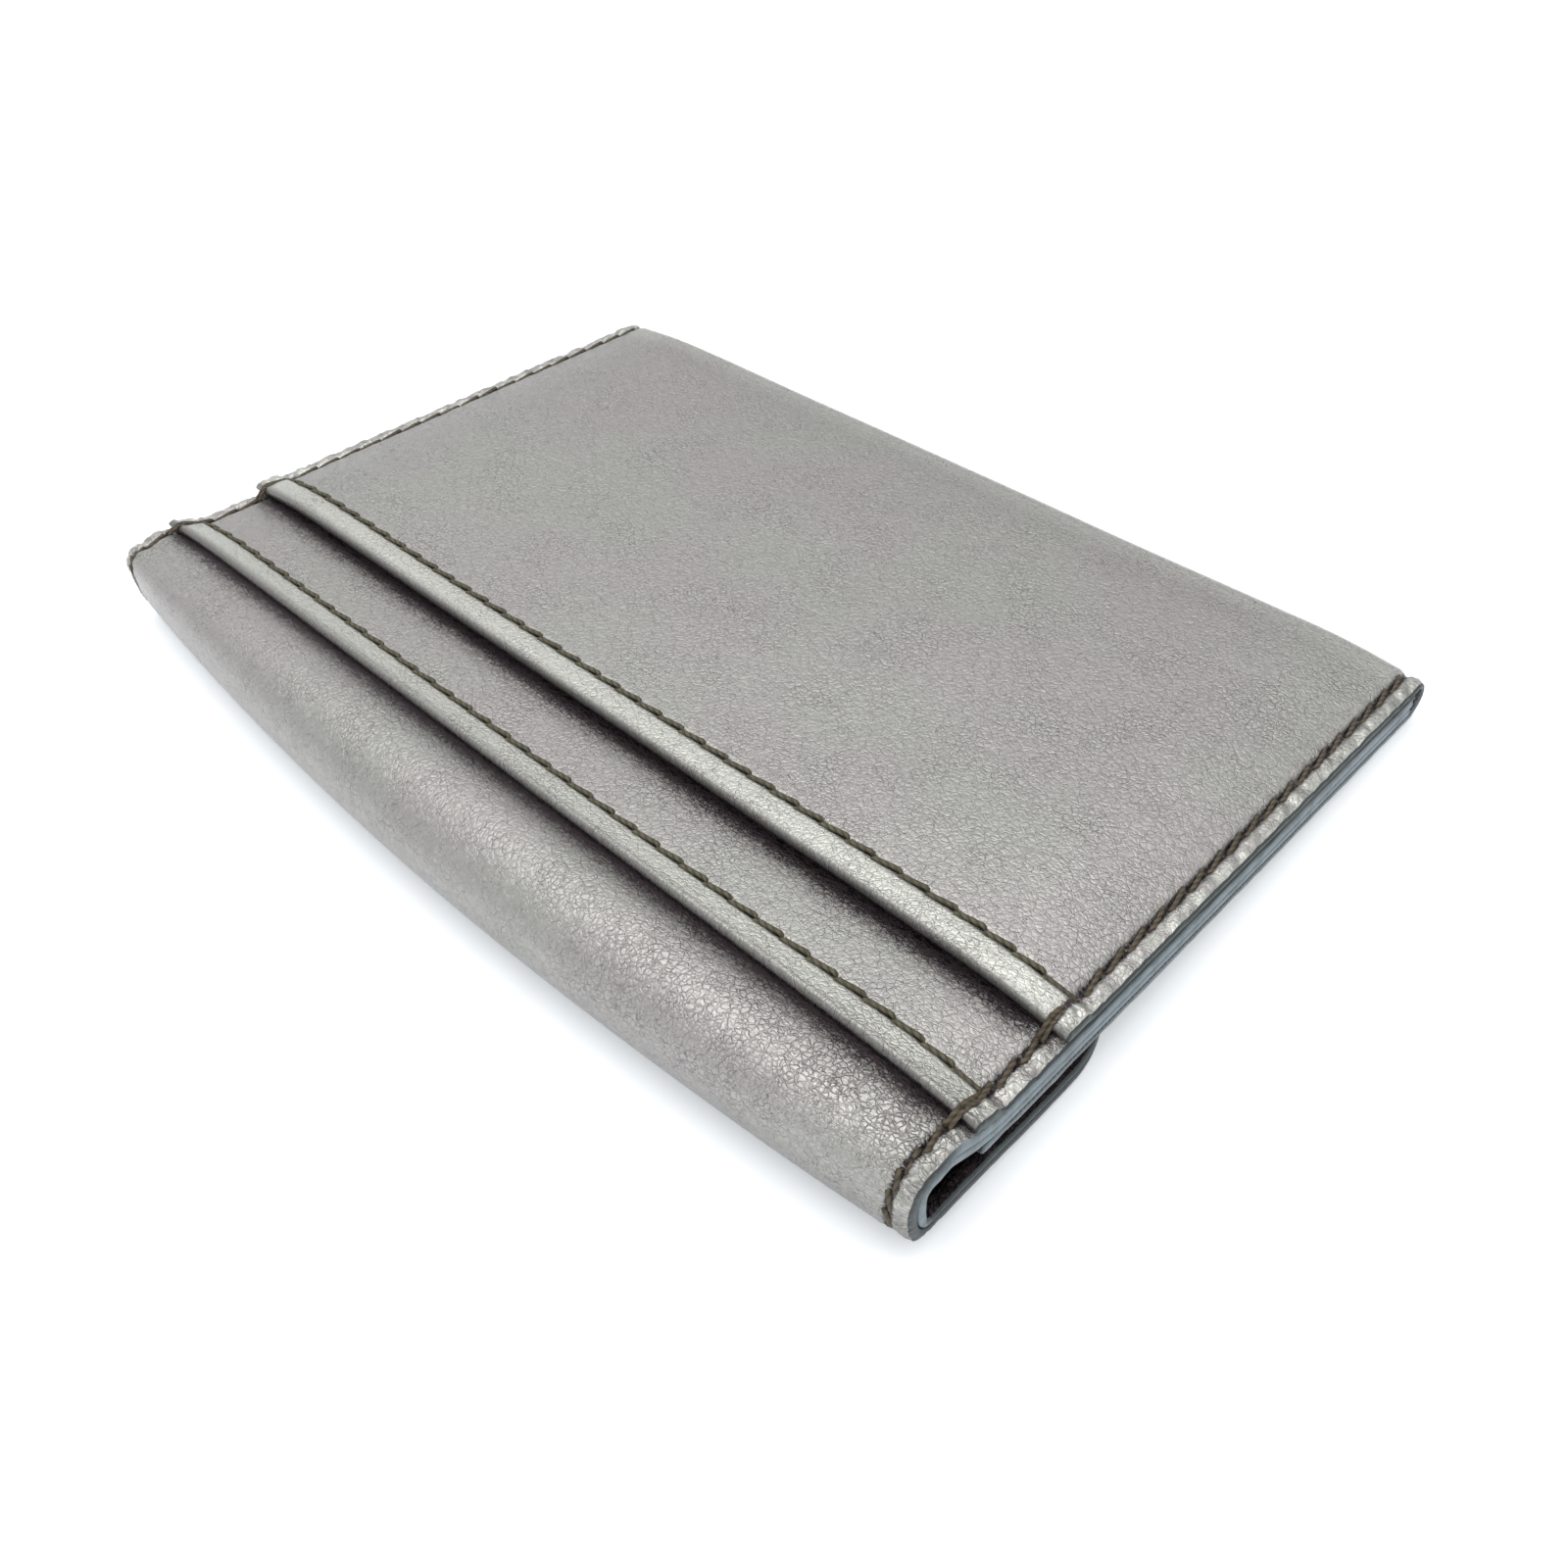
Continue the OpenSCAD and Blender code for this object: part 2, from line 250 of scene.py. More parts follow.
def margin_lumps(x, s, seed):
    """The narrow margin outside the seam is lumpy: bumps of two sizes that fade out inside the seam."""
    outside = 1 - ease((half_w - np.abs(x) - 1.2 * mm) / (1.4 * mm))
    pucker = uneven(0.35 * x, s, 1.3 * mm, seed + 2)
    return outside * mm * (0.09 * uneven(x, s, 2.6 * mm, seed) + 0.06 * uneven(x, s, 0.9 * mm, seed + 1)
                           - 0.11 * np.abs(pucker))


def margin_rub(x, s):
    """The high spots of the margin outside a seam are rubbed."""
    outside = 1 - ease((half_w - np.abs(x) - 1.2 * mm) / (1.5 * mm))
    return outside * np.clip(0.45 + 0.6 * uneven(x, s, 2.2 * mm, 7), 0, 1)


def groove_painted_shade(inset):
    """Painted shade in the groove of a seam: a narrow dark line under the thread."""
    return 0.75 * np.exp(-((inset - seam_inset) / (0.3 * mm)) ** 2)


def mouth_painted_shade(distance, edge):
    """Painted shade in front of a mouth, where the panel over it shades the leather: darkest at the mouth,
    fading in an exponential of the distance from it, and weaker near the side edges."""
    fade = np.exp(-(np.maximum(distance, 0) / (1.6 * mm)) ** 1.15)
    return fade * (0.25 + 0.75 * ease(edge / (5 * mm)))


def back_offset(s, x, v, press, dip):
    """How far a layer of the back stands off the plain line: it swells between the side seams, is pressed
    down at them, and dips in front of the two mouths."""
    middle = between_seams(x)
    body = ease((crest_s - s) / (9 * mm))
    lift = swell * middle * body * far_share(v) - press * (1 - middle) * (0.35 + 0.65 * body)
    return lift - dip * mm * middle * body * sunk_before(outer_v - v, 2.2 * mm)


def fold_bulge(x, facing):
    """The fold is fullest near the middle of the case and drawn in at its stitched ends: a power of the
    distance from its fullest place, times the share of the facing that looks outwards."""
    outwards = np.maximum(-np.cos(facing), 0) ** 1.2
    return -(0.6 * mm - 3.4 * mm * np.abs(x / half_w - 0.095) ** 1.9) * outwards


def end_rise(s, x, facing):
    """The fold's ends are lower, and drawn up off the table: cubes of the distance from the middle, one over
    the crest, the other round the fold and dying away along the flap."""
    round_fold = ease((facing - math.radians(150)) / math.radians(120))
    over_crest = ease((s - inner_mouth_s - 0.4 * mm) / (3.6 * mm)) * (1 - ease((facing - 1.8) / 1.3))
    return (1.1 * mm * np.abs(x / half_w) ** 3 * round_fold * (1 - ease((s - table_s) / (16 * mm)))
            - 1.25 * mm * np.abs(x / half_w - 0.095) ** 3 * over_crest)


def back_face(s, x, depth, press, dip):
    """A face of a back layer at distance s and width x: the line's place moved along its facing."""
    y, z, facing = back_line(s)
    v = y * math.cos(lean) - z * math.sin(lean)
    out = back_offset(s, x, v, press, dip) - depth
    y, z = on_table(y + out * np.cos(facing) + fold_bulge(x, facing),
                    z + out * np.sin(facing) + end_rise(s, x, facing))
    return np.stack(np.broadcast_arrays(x, y, z), -1)


def steps(*runs):
    """Places along a line: each run is its end and the step used up to it."""
    places = [np.array([runs[0][0]])]
    for (start, _), (end, step) in zip(runs, runs[1:]):
        count = max(1, round(abs(end - start) / step))
        places.append(start + (end - start) * np.arange(1, count + 1) / count)
    return np.concatenate(places)


edge_steps = np.concatenate([
    np.array([0, 0.006, 0.02, 0.05, 0.09, 0.15, 0.23, 0.34, 0.48, 0.63, 0.78, 0.93]) * mm,
    steps((1.06 * mm, 0), (2.5 * mm, 0.1 * mm), (3.5 * mm, 0.17 * mm)),
    steps((3.8 * mm, 0), (6 * mm, 0.4 * mm), (10 * mm, 0.7 * mm), (14 * mm, 1 * mm))])
middle_steps = np.linspace(-(half_w - 15 * mm), half_w - 15 * mm, 45)
columns = np.concatenate([edge_steps - half_w, middle_steps, (half_w - edge_steps)[::-1]])[None, :]


def rounded(distance, radius):
    """Share of its thickness that a sheet has near its cut edge: a squared-off quarter circle."""
    return (1 - (1 - np.clip(distance / radius, 0, 1)) ** 2.6) ** (1 / 2.2)


def thinned(high, low, share):
    """A layer's two offsets, drawn in to a share of its thickness."""
    middle, half = (high + low) / 2, (high - low) / 2 * share
    return middle + half, middle - half


def new_piece(name, points, faces, flat, marks):
    """An object from points and faces, the flat ones unsmoothed, with named values for every point."""
    mesh = bpy.data.meshes.new(name)
    mesh.from_pydata(points.tolist(), [], faces)
    mesh.polygons.foreach_set("use_smooth", ~flat)
    for mark, values in marks.items():
        kind, field = ("FLOAT_VECTOR", "vector") if values.ndim > 1 else ("FLOAT", "value")
        mesh.attributes.new(mark, kind, "POINT").data.foreach_set(field, values.astype(np.float32).ravel())
    mesh.update()
    return placed(name, mesh)


def quads(grid):
    """The four-sided faces between the points of a numbered grid."""
    return np.stack([grid[:-1, :-1], grid[1:, :-1], grid[1:, 1:], grid[:-1, 1:]], -1).reshape(-1, 4)


def end_strip(*corners):
    """The faces that close an end. The first and the last have a shared corner twice, so they lose one."""
    return [[a for i, a in enumerate(f) if a != f[i - 1]] for f in np.stack(corners, -1).tolist()]


def both_faces(above, below):
    """The values of the upper face, then those of the lower one without the sides that they share."""
    deep = above.shape[2:]
    return np.concatenate([above.reshape(-1, *deep), below[:, 1:-1].reshape(-1, *deep)])


def closed_sheet(name, top, bottom, marks, cut_ends=(False, False)):
    """A closed sheet from two grids of points that share their first and last columns. Two narrow strips
    close its ends. marks are named values for every point of both."""
    rows, cols = top.shape[:2]
    upper = np.arange(rows * cols).reshape(rows, cols)
    lower = upper.copy()
    lower[:, 1:-1] = rows * cols + np.arange(rows * (cols - 2)).reshape(rows, cols - 2)
    faces = [quads(upper).tolist(), quads(lower)[:, ::-1].tolist(),
             end_strip(upper[0, :-1], upper[0, 1:], lower[0, 1:], lower[0, :-1]),
             end_strip(upper[-1, :-1], lower[-1, :-1], lower[-1, 1:], upper[-1, 1:])]
    flat = np.repeat([False, False, *cut_ends], [len(f) for f in faces])
    return new_piece(name, both_faces(top, bottom), sum(faces, []), flat,
                     {mark: both_faces(*pair) for mark, pair in marks.items()})


paint_width = 0.3 * mm


def hide_marks(s, x, edge, rubbed, painted_shade, lit_edge_share, gauge, soft_painted_shade=0, worn=0):
    """What the finish reads: the place on the hide in millimetres, paint near the cut edge, rubbed spots and
    painted shade with a ragged edge. One value picks the lighter of two edge colours, painted light and shade
    on one edge paint; another is painted shade with a soft edge; and worn is where bending has crackled the
    hide."""
    shape = np.broadcast(s, x, edge).shape

    def spread(value):
        """The value at every point of a face."""
        return np.broadcast_to(value, shape)

    high = gauge / mm * rounded(edge, paint_width)
    skins = [np.stack([spread(x) / mm, spread(s) / mm, spread(side * high)], -1) for side in (0.5, -0.5)]
    same = {"painted": 1 - ease((edge - paint_width * 0.4) / (paint_width * 0.6)),
            "lit_edge_share": lit_edge_share, "soft_painted_shade": soft_painted_shade, "worn": worn}
    # Every layer's lower face gets painted shade at 0.4, which darkens the flap's inner face.
    return {"skin": skins, "rubbed": (spread(rubbed), spread(0.0)), "painted_shade": (spread(painted_shade), spread(0.4)),
            **{mark: (spread(value),) * 2 for mark, value in same.items()}}


def fold_painted_shade(s):
    """Painted shade on the lower half of the fold, which faces down to the table."""
    return 0.7 * ease((s - run_at(math.radians(150))) / (6 * mm))


def fold_wear(s, x):
    """The fold is crackled by use, more so towards the right and at both of its ends."""
    across = np.maximum(ease((x - 5 * mm) / (45 * mm)), ease((np.abs(x) - 42 * mm) / (9 * mm)) * 0.7)
    return (0.1 + 0.45 * across) * ease((s - inner_mouth_s + 1 * mm) / (5 * mm))


def back_piece(name, s, depth, gauge, press, dip, face_extra, seed, cuts):
    """A length of one layer of the back, with rounded sides and square ends."""
    s = s[:, None]
    edge = half_w - np.abs(columns)
    grooves = (sewn_groove(edge, s) + margin_lumps(columns, s, seed) + pared(edge)) * face_extra
    high, low = thinned(-depth + grooves, -depth - gauge * pinched(columns), rounded(edge, 0.22 * mm))
    top, bottom = (back_face(s, columns, -offset, press, dip) for offset in (high, low))
    rub = face_extra * margin_rub(columns, s)
    # Painted shade in the seam grooves and in front of the inner mouth.
    shade = np.maximum(groove_painted_shade(edge), mouth_painted_shade(s - inner_mouth_s, edge))
    # Lighter edge colour, painted light, on the liner and on the back of the outer hide; the hide's fold edge
    # takes the colour in shade.
    lit_edge_share = 1 - face_extra * ease((s - inner_mouth_s) / (4 * mm))
    # The fold's lower half gets a soft painted shade.
    marks = hide_marks(s, columns, edge, rub, shade, lit_edge_share, gauge, fold_painted_shade(s), fold_wear(s, columns))
    return closed_sheet(name, top, bottom, marks, cuts)


def cut_turn(bend):
    """The turn at which the hide is cut between a bend and the next."""
    return bends[bend] + sector / 2


# Directions in degrees along which the two cuts of a piece lie farthest apart, one for each bend
bend_ways = (200, 268, 272, 316)


def blend_at_bend(piece, bend, depth, gauge, press):
    """Measures where the piece's two cuts reach along one direction, then bakes the piece's place into its
    points. The measures are not used, and the piece is not handed from one body to the next."""
    angle = math.radians(bend_ways[bend])
    way = np.array([math.cos(angle), math.sin(angle)])
    first_s = run_at(cut_turn(bend - 1)) if bend else run_at(math.radians(75))
    last_s = run_at(cut_turn(bend)) if bend < 3 else table_s + 0.5 * mm
    reach = [np.stack([back_face(np.full((1, 1), s), columns, d, press, 0)[..., 1:] @ way
                       for d in (depth, depth + gauge)]) for s in (first_s, last_s)]
    bodies[bend + 1]
    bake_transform(piece)


tip_s = table_s + flap_v
seam_step = 0.02 * mm
bodies = ["case", "fold_upper", "fold_middle", "fold_lower", "flap"]
first_cut_s = run_at(cut_turn(0))
back_rows = steps((0.0, 0), (inner_mouth_s - 3.5 * mm, 1.3 * mm), (first_cut_s - seam_step, 0.14 * mm),
                  (first_cut_s, seam_step))


def fold_rows(bend):
    """Rows round one bend, the first and last very close, so that its shading meets the next piece's."""
    start, end = run_at(cut_turn(bend - 1)), run_at(cut_turn(bend))
    return steps((start, 0), (start + seam_step, seam_step), (end - seam_step, 0.13 * mm), (end, seam_step))


def outline_distance(x, along):
    """Distance inwards from the flap's outline: from its straight sides and tip, or from its corner arcs."""
    side = np.minimum(half_w - np.abs(x), flap_v - along)
    over_x = np.abs(x) - (half_w - flap_corner_r)
    over_y = along - (flap_v - flap_corner_r)
    corner = flap_corner_r - np.hypot(np.maximum(over_x, 0), np.maximum(over_y, 0))
    return np.where((over_x > 0) & (over_y > 0), corner, side)


def flap_width(along):
    """Half the flap's width at that distance from the fold: full, then narrowing on the corner's circle."""
    over = np.clip(along - (flap_v - flap_corner_r), 0, flap_corner_r)
    return half_w - flap_corner_r + np.sqrt(np.maximum(flap_corner_r ** 2 - over ** 2, 0))


wide_edge = np.concatenate([edge_steps[edge_steps < 3.6 * mm], steps((3.85 * mm, 0), (16 * mm, 0.35 * mm))])
wide_middle = np.linspace(-1, 1, 36)


def flap_columns(along):
    """Columns that keep their distance from the flap's outline, with the middle shared out between them."""
    width = flap_width(along)
    room = width - 17.2 * mm
    return np.concatenate([wide_edge - width, wide_middle * room, (width - wide_edge)[:, ::-1]], 1)


def flap_piece(name, depth, gauge, seam_side, seed):
    """The last of the fold and the whole flap in one layer, its outline rounded by the distance to it."""
    straight = table_s + flap_v - flap_corner_r
    cut_s = run_at(cut_turn(2))
    s = steps((cut_s, 0), (cut_s + seam_step, seam_step), (table_s + 1 * mm, 0.13 * mm),
              (straight, 0.6 * mm), (tip_s - 3.5 * mm, 0.34 * mm), (tip_s - 1.2 * mm, 0.14 * mm),
              (tip_s - 0.25 * mm, 0.1 * mm), (tip_s - 0.02 * mm, 0.04 * mm), (tip_s, 0.01 * mm))[:, None]
    along = np.maximum(s - table_s, 0)
    x = flap_columns(along)
    edge = np.where(s > table_s, outline_distance(x, along), half_w - np.abs(x))
    lumps = margin_lumps(x, s, seed) * (1 - 0.5 * ease(along / (5 * mm)))
    groove = sewn_groove(edge, s) + lumps + pared(edge)
    share = np.maximum(rounded(edge, 0.22 * mm), 0.04 * (s >= tip_s))
    high, low = thinned(-depth + groove * (seam_side > 0),
                        -depth - gauge * pinched(x) - groove * (seam_side < 0), share)
    curl = -0.12 * mm * ease((s - table_s - 5 * mm) / (20 * mm)) * (1 - ease(edge / (14 * mm)))
    top, bottom = (back_face(s, x, -(offset + curl), hide_press, 0) for offset in (high, low))
    rub = 0.5 * (1 - ease((edge - 1.2 * mm) / (1.5 * mm)))
    # The liner's lighter edge colour, painted light, fades to the colour in shade where the flap's edge lies
    # in shade.
    lit_edge_share = (seam_side < 0) * (1 - ease((s - cut_s) / (5 * mm)))
    # Painted shade in the seam groove and, soft, on the fold's lower half.
    marks = hide_marks(s, x, edge, rub, groove_painted_shade(edge), lit_edge_share, gauge, fold_painted_shade(s), fold_wear(s, x))
    return closed_sheet(name, top, bottom, marks, (True, False))


def bent_layer(kind, back_s, depth, gauge, press, outer, seed):
    """The four pieces of a layer: the back, two lengths of the fold, and the flap. outer is 1 for the outer
    layer and 0 for the one behind it."""
    lengths = ((f"back_{kind}", back_s, 0.5, False), (f"fold_{kind}_upper", fold_rows(1), 0, True),
               (f"fold_{kind}_lower", fold_rows(2), 0, True))
    pieces = [back_piece(name, s, depth, gauge, press, dip, outer, seed, (cut, True))
              for name, s, dip, cut in lengths]
    return [*pieces, flap_piece(f"flap_{kind}", depth, gauge, 2 * outer - 1, seed)]


class Wire:
    """A shader socket. Sums, differences and products of wires and numbers add Math nodes to its tree."""

    def __init__(self, tree, socket=None):
        self.tree, self.socket = tree, socket

    def add(self, kind, settings, values, out=0):
        """Adds a node of that type: its settings first, then its sockets' values or links."""
        node = self.tree.nodes.new("ShaderNode" + kind)
        for name, setting in settings.items():
            setattr(node, name, setting)
        for name, value in values.items():
            if isinstance(value, Wire):
                self.tree.links.new(value.socket, node.inputs[name])
            else:
                node.inputs[name].default_value = value
        return Wire(self.tree, node.outputs[out])

    def into(self, shader, name):
        """Drives one of the shader's sockets."""
        self.tree.links.new(self.socket, shader.inputs[name])

    def maths(self, operation, *terms):
        """Any Math node on wires and numbers."""
        return self.add("Math", {"operation": operation}, dict(enumerate(terms)))

    def __add__(self, other):
        return self.maths("ADD", self, other)

    def __sub__(self, other):
        return self.maths("SUBTRACT", self, other)

    def __rsub__(self, other):
        return self.maths("SUBTRACT", other, self)

    def __mul__(self, other):
        return self.maths("MULTIPLY", self, other)

    __radd__, __rmul__ = __add__, __mul__

    def limited(self, low, high):
        """0 up to low and 1 from high, with a smooth S between."""
        return self.add("MapRange", {"interpolation_type": "SMOOTHSTEP"},
                        {"Value": self, "From Min": low, "From Max": high})

    def mixed(self, share, first, second):
        """One colour turns into another by a share."""
        colours = [(*c, 1) if isinstance(c, tuple) else c for c in (first, second)]
        return self.add("Mix", {"data_type": "RGBA"}, {0: share, 6: colours[0], 7: colours[1]}, out=2)

    def noise(self, place, scale, detail=2.0, roughness=0.5):
        """Cloudy noise at a place, 0 to 1, with that many spots in one unit of it."""
        return self.add("TexNoise", {}, {"Vector": place, "Scale": scale, "Detail": detail,
                                         "Roughness": roughness})

    def cells(self, place, scale, feature="F1", out=0):
        """Voronoi cells: the distance from their middles or edges, or their colours with out 1."""
        return self.add("TexVoronoi", {"feature": feature}, {"Vector": place, "Scale": scale}, out=out)

    def raised(self, shader, strength, depth):
        """The wire is a height, and the shader's surface goes up and down with it."""
        self.add("Bump", {}, {"Strength": strength, "Distance": depth, "Height": self}).into(shader, "Normal")

    def named(self, name, out=2):
        """A value stored on the piece's own points: out 1 is a vector and out 2 a number."""
        return self.add("Attribute", {"attribute_name": name}, {}, out=out)


def new_finish(name):
    """A new material with one shader, and a wire to start its node tree from."""
    material = bpy.data.materials.new(name)
    material.use_nodes = True
    tree = material.node_tree
    shader = tree.nodes["Principled BSDF"]
    return material, shader, Wire(tree)


def metallic_hide(name, tone):
    """Fine-grained hide under a metallic foil: pebbled cells parted by hairline cracks, faint purple and
    green tints, bright flecks painted as glints, smoother rubbed spots, painted shade, and satin paint on its
    cut edges, lighter or darker as painted light and shade."""
    material, shader, w = new_finish(name)

    def toned(red, green, blue):
        """The finish's own tone with each channel scaled."""
        return tuple(min(1, c * k) for c, k in zip(tone, (red, green, blue)))

    skin = w.named("skin", out=1)
    painted, rubbed, painted_shade, lit_edge_share, soft_painted_shade, worn = (w.named(mark) for mark in (
        "painted", "rubbed", "painted_shade", "lit_edge_share", "soft_painted_shade", "worn"))
    broad = w.noise(skin, 0.045, 2.0)
    cloudy = w.noise(skin, 0.15, 3.0, 0.6)
    mottled = w.noise(skin, 1.0, 4.0, 0.65)
    fine = w.noise(skin, 6.0, 3.0, 0.7)
    warp = w.add("VectorMath", {"operation": "MULTIPLY_ADD"}, {
        0: w.add("TexNoise", {}, {"Vector": skin, "Scale": 1.5, "Detail": 2.0}, out=1),
        1: (0.8, 0.8, 0.8), 2: skin})
    cell = w.cells(warp, 2.1)
    cell_tone = w.add("SeparateColor", {}, {0: w.cells(warp, 2.1, out=1)})
    crack = w.cells(warp, 0.85, "DISTANCE_TO_EDGE")
    small_crack = w.cells(warp, 2.1, "DISTANCE_TO_EDGE")
    crazed = cloudy.limited(0.40, 0.70)
    broken = mottled.limited(0.42, 0.60)
    broken = (broken * (0.3 + 0.7 * crazed)).maths("MAXIMUM", worn * mottled.limited(0.35, 0.55) * 0.6)
    hair = (1 - crack.limited(0.0, 0.045)) * broken
    hair_small = (1 - small_crack.limited(0.0, 0.17)) * (0.4 + 0.6 * crazed + 0.7 * worn)
    stretched = w.add("VectorMath", {"operation": "MULTIPLY"}, {0: skin, 1: (0.7, 1.8, 1.0)})
    creased = w.noise(stretched, 1.5, 4.0, 0.6)
    crease = 1 - w.maths("ABSOLUTE", creased * 2 - 1).limited(0.0, 0.12)
    # Painted glints: small bright spots in the colour, more of them where the hide is crackled.
    painted_glint = fine.limited(0.58, 0.72) * mottled.limited(0.42, 0.62)
    tint = w.mixed(broad.limited(0.40, 0.60), toned(0.985, 1.01, 0.975), toned(1.0, 0.97, 0.985))
    tint = w.mixed(cloudy.limited(0.52, 0.74) * 0.5, tint, toned(1.06, 1.10, 1.06))
    tint = w.mixed(mottled.limited(0.30, 0.80) * 0.5, tint, toned(0.80, 0.78, 0.80))
    tint = w.mixed((cell_tone - 0.5).limited(0.0, 0.6) * 0.22, tint, toned(1.35, 1.36, 1.30))
    tint = w.mixed(rubbed * 0.9, tint, toned(1.46, 1.51, 1.43))
    tint = w.mixed(worn * 0.5, tint, toned(1.22, 1.22, 1.17))
    tint = w.mixed(painted_glint * (0.55 + 0.3 * worn), tint, toned(1.9, 1.9, 1.8))
    # Painted shade with a soft edge, on the fold's lower half and the mouths' turned noses.
    tint = w.mixed(soft_painted_shade, tint, toned(0.50, 0.50, 0.49))
    tint = w.mixed((hair * 0.6 + hair_small * 0.45).limited(0.0, 1.0), tint, toned(0.42, 0.38, 0.40))
    # Painted shade, broken up by grain and painted glints, turning near-black purple where it is full.
    ragged_shade = painted_shade * (0.9 + 1.1 * (mottled - 0.5) + 0.6 * hair_small + 0.6 * crease - 0.7 * painted_glint)
    tint = w.mixed(ragged_shade.limited(0.05, 0.85) * 0.95, tint, toned(0.09, 0.06, 0.08))
    # One edge paint in a lit colour and a colour in shade, picked by place: painted light and shade.
    coat = w.mixed(lit_edge_share, edge_colour_in_shade, edge_colour_lit)
    coat = w.mixed(mottled.limited(0.3, 0.8) * 0.5, coat, edge_colour_in_shade)
    ragged = (painted + (fine - 0.5) * 0.5 + (mottled - 0.5) * 0.5).limited(0.35, 0.65)
    w.mixed(ragged, tint, coat).into(shader, "Base Color")
    ((1 - ragged) * (0.88 - 0.1 * rubbed)).into(shader, "Metallic")
    rough = 0.34 + 0.12 * (mottled - 0.5) + 0.1 * hair - 0.05 * rubbed
    (rough + ragged * 0.14).into(shader, "Roughness")
    height = (fine * 0.7 + mottled * 0.7 - cell * 0.8 + cell_tone * 0.2 - hair * 0.8 - hair_small * 0.5
              - painted_shade * crease * 1.6 - worn * (hair * 0.5 + hair_small * 0.5))
    (height * (1 - ragged * 0.6)).raised(shader, 0.75, 0.055 * mm)
    return material


# The edge paint's colour in shade and its lit colour, lighter on the lower edges: painted shade and light.
edge_colour_in_shade = (0.022, 0.031, 0.032)
edge_colour_lit = (0.17, 0.215, 0.24)
hide_finish = metallic_hide("pewter_hide", (0.35, 0.343, 0.334))

hides = bent_layer("hide", back_rows, 0, hide_gauge, hide_press, 1, 11)
hide_nodes = (["back_leather"], ["fold_leather_upper"], ["fold_leather_middle"],
              ["fold_leather_lower", "flap_leather"])
for bend, (piece, nodes) in enumerate(zip(hides, hide_nodes)):
    piece.data.materials.append(hide_finish)
    blend_at_bend(piece, bend, 0, hide_gauge, hide_press)
    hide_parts(*nodes)

# ---- Lining leather: the same hide, darkened as painted shade, glued behind the back leather and the flap ----
# It makes the inner face of the main pocket's back and of the flap, and its lighter edge colour, painted
# light, shows beside the darker one of the back leather. The flap's seam shows on it too.

# A near-black tone: the lining is the same metallic hide, darkened as painted shade for the deep shadow
# inside the fold.
liner_shadow_tone_finish = metallic_hide("lining_in_painted_shadow", (0.055, 0.043, 0.046))
liner_rows = steps((0.0, 0), (crest_s - 6 * mm, 1.3 * mm), (first_cut_s - seam_step, 0.25 * mm),
                   (first_cut_s, seam_step))
liner_depth = hide_gauge + 0.01 * mm
liners = bent_layer("liner", liner_rows, liner_depth, liner_gauge, liner_press, 0, 21)
liner_nodes = (["back_lining"], ["fold_lining_upper"], ["fold_lining_middle"],
               ["fold_lining_lower", "flap_lining"])
for bend, (piece, nodes) in enumerate(zip(liners, liner_nodes)):
    piece.data.materials.append(liner_shadow_tone_finish)
    blend_at_bend(piece, bend, liner_depth, liner_gauge, liner_press)
    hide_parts(*nodes)

# ---- Inner pocket panel: the strip between the two slots ----
# Thin hide, doubled over at its mouth into a bead 3 mm wide. It lies on the back leather and follows
# its ramp as far as the mouth. The outer panel covers the rest of it.

bead_run = 2.4 * mm
outer_mouth_on_back = layers_end_v - outer_v


def bead_share(from_mouth):
    """1 along the doubled edge of a mouth, and an S down to 0 as far as its seam."""
    return 1 - ease((from_mouth - bead_run) / (0.9 * mm))


def mouth_groove(from_mouth, x):
    """The trough of a mouth's seam, deepest at the needle holes, ending at the side seams."""
    beat = np.cos(2 * math.pi * x / mouth_pitch)
    reach = ease((side_x - np.abs(x)) / (0.8 * mm))
    return -0.13 * mm * reach * (1 + 0.25 * beat) * np.exp(-((from_mouth - mouth_inset) / (0.32 * mm)) ** 2)


def mouth_seam_painted_shade(from_mouth, x):
    """Painted shade in the groove of a mouth's seam, between the side seams."""
    inside = ease((side_x - np.abs(x)) / (0.4 * mm))
    return 0.8 * inside * np.exp(-((from_mouth - mouth_inset) / (0.28 * mm)) ** 2)


def nose_painted_shade(from_mouth):
    """Painted shade where the doubled edge turns over at its nose."""
    return 1 - ease((from_mouth + 0.1 * mm) / (1.1 * mm))


def bead_arch(from_mouth):
    """The doubled edge is slightly round on top: a half sine from the mouth to the seam."""
    return 0.07 * mm * np.sin(math.pi * np.clip(from_mouth / mouth_inset, 0, 1))


def round_nose(share):
    """Share of its thickness that a doubled edge has at its nose: a quarter circle, never quite shut."""
    return np.maximum(np.sqrt(1 - (1 - np.clip(share, 0, 1)) ** 2), 0.05)


def panel_sheet(name, face, offsets, s, mouth_s, skin_start, rub, shade, lit_edge_share, gauge):
    """A pocket panel from its two offsets off a face. rub and shade come on top of what every panel has at
    its mouth, margins and seams. skin_start is where its part of the skin begins."""
    edge, from_mouth = half_w - np.abs(columns), mouth_s - s
    rub = np.maximum(np.maximum(bead_share(from_mouth), margin_rub(columns, s)), rub)
    # Painted shade in the seam grooves and along the mouth's seam.
    shade = np.maximum(np.maximum(groove_painted_shade(edge), mouth_seam_painted_shade(from_mouth, columns)), shade)
    high, low = offsets(s, columns)
    # The turned nose gets a soft painted shade.
    return closed_sheet(name, face(s, columns, high), face(s, columns, low), hide_marks(
        s + skin_start, columns, edge, rub, shade, lit_edge_share, gauge, nose_painted_shade(from_mouth)))


pocket_top = slot_gap + pocket_gauge


